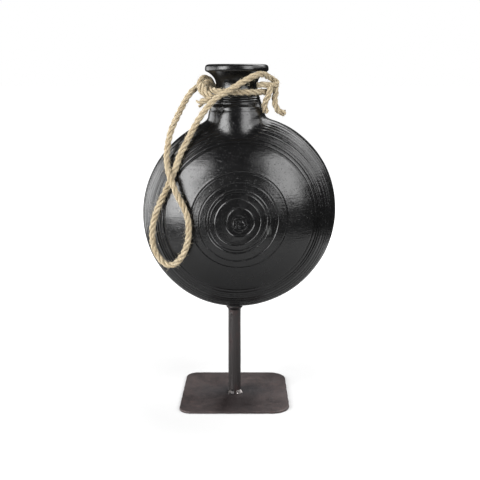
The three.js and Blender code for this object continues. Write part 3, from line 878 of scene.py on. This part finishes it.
def post_material():
    """Drawn rod: long streaks along its length, with a little rust in them."""
    n = Nodes("drawn_rod")
    p = n.position()
    streak = n.noise(n.stretch(p, (1, 1, 0.06)), 420, 4, 0.6)
    cloud = n.noise(n.stretch(p, (1, 1, 0.5)), 60, 4, 0.6)
    colour = n.mix(streak, (0.022, 0.02, 0.02), (0.056, 0.05, 0.05))
    colour = n.mix(n.ramp(cloud, (0.5, 0.0), (0.72, 0.7)), colour, (0.066, 0.036, 0.034))
    normal = n.bump(streak, 0.2, 0.0003, n.bump(cloud, 0.2, 0.0006))
    return n.finish(colour, 0.6, n.ramp(streak, (0.3, 0.26), (0.7, 0.4)), normal)


def weld_material(name="weld_bead", bright=(0.2, 0.185, 0.18)):
    n = Nodes(name)
    p = n.position()
    fine = n.noise(p, 420, 4, 0.65)
    burnt = n.noise(p, 130, 3, 0.5)
    colour = n.mix(n.ramp(burnt, (0.44, 0.0), (0.6, 1.0)), (0.04, 0.037, 0.038), bright)
    return n.finish(colour, 0.9, n.ramp(fine, (0.3, 0.24), (0.7, 0.42)), n.bump(fine, 0.35, 0.0004))


def fine_material(name, scale, dark, pale, metallic, rough, relief):
    n = Nodes(name)
    fine = n.noise(n.position(), scale, 4, 0.6)
    roughness = n.ramp(fine, (0.3, rough[0]), (0.7, rough[1]))
    return n.finish(n.mix(fine, dark, pale), metallic, roughness, n.bump(fine, relief, 0.0002))


PLATE_IRON = plate_material()
POST_IRON = post_material()
WELD_METAL = weld_material()
BURNT_WELD = weld_material("burnt_weld", bright=(0.05, 0.046, 0.046))
STEEL = fine_material("zinc_steel", 700, (0.36, 0.37, 0.38), (0.5, 0.5, 0.48), 1.0, (0.28, 0.42), 0.15)
RUBBER = fine_material("rubber", 500, (0.012, 0.012, 0.012), (0.024, 0.024, 0.024), 0.0, (0.68, 0.85), 0.3)

# ---------------- stand

CORNERS = (15.0, 22.0, 22.0, 16.0)  # front left, front right, back right, back left
PLATE_SKEW = 3.0  # the back left corner was cut this much short
FOOT_WELDS = (  # where each bead starts and ends, in degrees from +X, and how wide it lies
    ("foot_weld_left", 198, 272, 4.6), ("foot_weld_right", 280, 342, 3.9), ("foot_weld_back", 25, 165, 3.2),
)
POST_CHAMFER = 0.6
STUD_DEPTH = 14  # of the stud's hole in the rod


def plate_outline(inset):
    """The plate's outline as points, cut in from the edge by inset: straight sides and four rounds."""
    half = span("base_plate")[1][0] - inset
    places = [(-half, -half), (half, -half), (half, half), (-half + PLATE_SKEW, half)]
    along_side = np.linspace(0.06, 0.94, 14)[:, None]
    points = []
    for number, (place, radius) in enumerate(zip(places, CORNERS)):
        here = np.array(place)
        radius -= inset
        back, ahead = (np.array(places[(number + k) % 4]) - here for k in (3, 1))
        back, ahead = back / np.linalg.norm(back), ahead / np.linalg.norm(ahead)
        half_angle = math.acos(back @ ahead) / 2
        inward = (back + ahead) / np.linalg.norm(back + ahead)
        centre = here + inward * radius / math.sin(half_angle)
        reach = radius / math.tan(half_angle)
        first, last = here + back * reach - centre, here + ahead * reach - centre
        start = math.atan2(first[1], first[0])
        sweep = (math.atan2(last[1], last[0]) - start) % TAU
        arc = start + sweep * np.linspace(0, 1, 16)
        corner = centre + radius * np.stack([np.cos(arc), np.sin(arc)], 1)
        if points:
            points.append(points[-1][-1] + (corner[0] - points[-1][-1]) * along_side)
        points.append(corner)
    closing = points[0][0] - points[-1][-1]
    points.append(points[-1][-1] + closing * along_side)
    return np.vstack(points)


def make_plate():
    low, high = span("base_plate")
    thickness = high[2] - low[2]
    rings = []
    for share in (0.3, 0.8):
        rings.append(np.c_[plate_outline(1.0) * share, np.zeros(len(plate_outline(0)))])
    for inset, height in ((1.0, 0), (0.35, 0.12), (0.08, 0.45), (0, 0.9), (0, thickness - 0.9),
                          (0.08, thickness - 0.45), (0.35, thickness - 0.12), (1.0, thickness)):
        outline = plate_outline(inset)
        rings.append(np.c_[outline, np.full(len(outline), height)])
    for share in (0.97, 0.92, 0.85, 0.76, 0.66, 0.55, 0.43, 0.3, 0.17):
        rings.append(np.c_[plate_outline(1.0) * share, np.full(len(outline), thickness)])
    rings = np.array(rings)
    flat = rings * [1, 1, 0]
    place = np.arange(rings.shape[1])
    nicks = 0.22 * (1 + np.sin(place * 1.9) * np.sin(place * 0.37))
    rings[2:11, :, :2] *= (1 - nicks[None, :, None] / high[0])
    rings[9:, :, 2] -= np.abs(lumps(flat[9:], 46, 0.1, seed=8))
    plate = capped("plate", rings, (0, 0, 0), (0, 0, thickness - 0.02), PLATE_IRON, sharp=60)
    placed(plate, "plate_iron", "base_plate")


def make_post():
    low, high = span("post")
    bottom, top, chamfer = low[2] - TOUCH, high[2], POST_CHAMFER
    side = [[POST_RADIUS, z] for z in np.linspace(bottom, top - chamfer, 60)]
    bore, depth = STUD_RADIUS + TOUCH, STUD_DEPTH
    profile = [*side, [POST_RADIUS - chamfer, top], [bore, top], [bore, top - depth]]
    rings = spun(profile, 96)
    rings[:60] += (from_axis(rings) * (lumps(rings, 30, 0.05, seed=9) - 0.04)[..., None])[:60]
    post = capped("rod", rings, (0, 0, bottom), (0, 0, top - depth), POST_IRON, sharp=35)
    placed(post, "post_iron", "post")


def make_foot_weld(node, start, end, leg, seed):
    """A bead in the corner between rod and plate, rippled along its run and round at both ends."""
    inner, foot = POST_RADIUS - 0.3, span("base_plate")[1][2] - 0.15
    share = np.linspace(0, 1, 110)
    turn = np.radians(start + (end - start) * share)
    taper = np.clip(np.minimum(share, 1 - share) / 0.16, 0.02, 1) ** 0.5
    run = turn * (inner + leg / 2)
    ripple = 0.16 * (((run / 1.55) % 1) ** 2) + 0.12 * np.sin(run / 3.1 + seed)
    size = leg * taper * (0.86 + ripple)
    tilt = np.linspace(0, math.pi / 2, 14)
    bulge = 1 / (np.cos(tilt) + np.sin(tilt)) ** 0.72
    sag = 1 + 0.08 * np.sin(3 * tilt[None, :] + run[:, None] / 1.9)
    out = np.c_[np.zeros(len(turn)), size[:, None] * bulge * np.cos(tilt) * sag] + inner
    up = np.c_[np.zeros(len(turn)), size[:, None] * bulge * np.sin(tilt) * sag] + foot
    rings = np.stack([out * np.cos(turn)[:, None], out * np.sin(turn)[:, None], up], -1)
    rings[:, 1:] += lumps(rings[:, 1:], 3.2, 0.11, seed)[..., None] * [0, 0, 1]
    bead = capped(node + "_bead", rings, rings[0].mean(0), rings[-1].mean(0), WELD_METAL, sharp=50)
    placed(bead, "weld", node)


def make_top_weld():
    low, high = span("top_weld")
    bottom, top, reach = low[2], high[2] + TOUCH, high[0] - POST_RADIUS
    inner = POST_RADIUS - 0.3
    up = np.linspace(0, 1, 12)
    curve = [[POST_RADIUS - 0.12 + (reach + 0.12) * u ** 1.9, bottom + (top - bottom) * u] for u in up]
    rings = spun([[inner, bottom], *curve, [inner, top]], 96)
    lump = lumps(rings, 5.5, 0.16, seed=12)
    share = np.r_[0, up, 1][:, None]
    rings[1:-1] += (from_axis(rings) * ((lump - 0.12) * share)[..., None])[1:-1]
    placed(looped("top_bead", rings, BURNT_WELD, sharp=55), "weld", "top_weld")
    drop = spun([[math.sin(a), -math.cos(a)] for a in np.linspace(0.1, math.pi - 0.1, 14)], 24)
    drop = drop * [1.25, 1.0, 2.3] + lumps(drop, 1.4, 0.12, seed=13)[..., None]
    drop += [-0.48 * POST_RADIUS, -0.88 * POST_RADIUS, bottom - 3.2]
    placed(capped("weld_drop", drop, drop[0].mean(0), drop[-1].mean(0), WELD_METAL), "weld")


make_plate()
make_post()
for weld_seed, foot_weld in enumerate(FOOT_WELDS, 1):
    make_foot_weld(*foot_weld, seed=weld_seed)
make_top_weld()

# ---------------- fixing


def make_ring(name, node, slot, material, corner, grow=(0, 0), bulge=0.0):
    """A washer or cushion in the place of its CAD node, grown down and up to touch its neighbours."""
    low, high = span(node)
    bottom, top = low[2] - grow[0], high[2] + grow[1]
    section = round_section(HOLE_RADIUS, high[0] - bulge, bottom, top, corner, bulge)
    placed(looped(name, spun(section, 96), material, sharp=60), slot, node)


def make_nut():
    low, high = span("hex_nut")
    flats = high[1] - low[1]
    turn = np.arange(144) * TAU / 144
    hexagon = flats / 2 / np.cos(turn % (math.pi / 3) - math.pi / 6)
    heights = np.r_[np.linspace(low[2], low[2] + 1.2, 7), np.linspace(high[2] - 1.2, high[2], 7)]
    rings = []
    for height in heights:
        cone = flats / 2 * 0.965 + 1.75 * min(height - low[2], high[2] - height)
        radius = np.minimum(hexagon, cone)
        rings.append(np.stack([radius * np.cos(turn), radius * np.sin(turn), np.full(144, height)], -1))
    for height, radius in ((high[2], STUD_RADIUS + 0.5), (high[2] - 0.5, STUD_RADIUS + 0.05),
                           (low[2] + 0.5, STUD_RADIUS + 0.05), (low[2], STUD_RADIUS + 0.5)):
        rings.append(spun([[radius, height]], 144)[0])
    placed(looped("nut", np.array(rings), STEEL, sharp=24), "steel", "hex_nut")


def make_stud(pitch=1.25, depth=0.5):
    low, high = span("threaded_stud")
    turn = np.arange(40) * TAU / 40
    heights = np.arange(low[2], high[2] + 1e-6, pitch / 9)
    phase = (heights[:, None] / pitch - turn[None, :] / TAU) % 1
    thread = depth * np.clip(np.abs(phase * 2 - 1) * 1.35 - 0.15, 0, 1)
    end = np.clip((np.minimum(heights - low[2], high[2] - heights)) / 0.9, 0, 1)
    radius = (STUD_RADIUS - thread) * (0.8 + 0.2 * end[:, None])
    height = np.repeat(heights[:, None], 40, 1)
    rings = np.stack([radius * np.cos(turn), radius * np.sin(turn), height], -1)
    stud = capped("stud", rings, (0, 0, heights[0]), (0, 0, heights[-1]), STEEL, sharp=50)
    placed(stud, "steel", "threaded_stud")


make_ring("saddle", "saddle_washer", "post_iron", POST_IRON, 0.35, grow=(0, TOUCH))
make_ring("lower_pad", "lower_cushion", "rubber", RUBBER, 0.5, grow=(0, TOUCH), bulge=0.4)
make_ring("inner_pad", "inner_cushion", "rubber", RUBBER, 0.5, grow=(TOUCH, 0), bulge=0.3)
make_ring("nut_washer", "inner_washer", "steel", STEEL, 0.3, grow=(TOUCH, 0))
make_nut()
make_stud()

# ---------------- studio

TABLE_RADIUS = 600
FLOOR_RADIUS = 30000
LIGHT_DISTANCE = 1.7
ROOM_LIGHT = 0.045
SOFTBOXES = (  # degrees turned from the camera's side, lifted, wide and high, then radiance
    ("left_softbox", -51, 15, 34, 46, 12.0),
    ("right_softbox", 42, 26, 28, 40, 7.5),
    ("right_fill", 92, 34, 62, 30, 2.8),
    ("left_rear_softbox", -109, 2, 60, 40, 3.6),
    ("back_softbox", 146, 50, 44, 34, 3.6),
)


def floor_material(name, low, high, near):
    """Pale card that glows with painted light, dimmed near the object as a painted shade round its foot, so
    that it ends in the white behind it.
    """
    n = Nodes(name)
    p = n.position()
    n.set("Base Color", n.mix(n.noise(p, 1.2, 2), (low, low, low), (high, high, high)))
    n.set("Roughness", 0.9)
    n.set("Specular IOR Level", 0.1)
    # Painted light and shade: the card glows, least near the object, so that a painted shade lies round the
    # object's foot.
    n.set("Emission Color", (1, 1, 1, 1))
    share = n.math("DIVIDE", n.vector("LENGTH", p), 2.0)
    n.set("Emission Strength", n.ramp(share, (0.06, near), (0.36, 1.0)))
    return n.material


def make_floor():
    """A pale floor for the camera, and the smaller, dimmer table that the object reflects, both glowing
    with painted light that is weakest near the object as painted shade.
    """
    rings = spun([[TABLE_RADIUS, -0.5], [FLOOR_RADIUS, 0]], 96)
    faces = [list(range(96))]
    table = make_object("studio_table", rings[0], faces, floor_material("dim_card", 0.24, 0.27, 0.04))
    table.visible_camera = False
    floor = make_object("studio_floor", rings[1], faces, floor_material("pale_card", 0.44, 0.47, 0.3))
    floor.visible_glossy = floor.visible_diffuse = floor.visible_shadow = False


def softbox(name, turn, lift, width, height, radiance):
    """An area light aimed at the disc's middle."""
    data = bpy.data.lights.new(name, "AREA")
    data.shape = "RECTANGLE"
    data.size, data.size_y = (2 * LIGHT_DISTANCE * math.tan(math.radians(a / 2)) for a in (width, height))
    data.energy = radiance * math.pi * data.size * data.size_y
    a, b = math.radians(turn), math.radians(lift)
    away = Vector((math.sin(a) * math.cos(b), -math.cos(a) * math.cos(b), math.sin(b)))
    light = bpy.data.objects.new(name, data)
    light.visible_camera = False
    aim = Vector(BODY_CENTRE * MM)
    light.location = aim + away * LIGHT_DISTANCE
    light.rotation_euler = away.to_track_quat("Z", "Y").to_euler()
    scene.collection.objects.link(light)


def make_world():
    """White behind the object for the camera, and a dim room for everything that it reflects."""
    world = bpy.data.worlds.new("studio")
    world.use_nodes = True
    scene.world = world
    tree = world.node_tree
    background = tree.nodes["Background"]
    path = tree.nodes.new("ShaderNodeLightPath")
    mix = tree.nodes.new("ShaderNodeMix")
    mix.inputs[2].default_value = ROOM_LIGHT
    mix.inputs[3].default_value = 1.0
    tree.links.new(path.outputs["Is Camera Ray"], mix.inputs[0])
    tree.links.new(mix.outputs[0], background.inputs["Strength"])
    background.inputs["Color"].default_value = (1, 1, 1, 1)


make_floor()
make_world()
for lamp in SOFTBOXES:
    softbox(*lamp)
scene.view_settings.view_transform = "Standard"
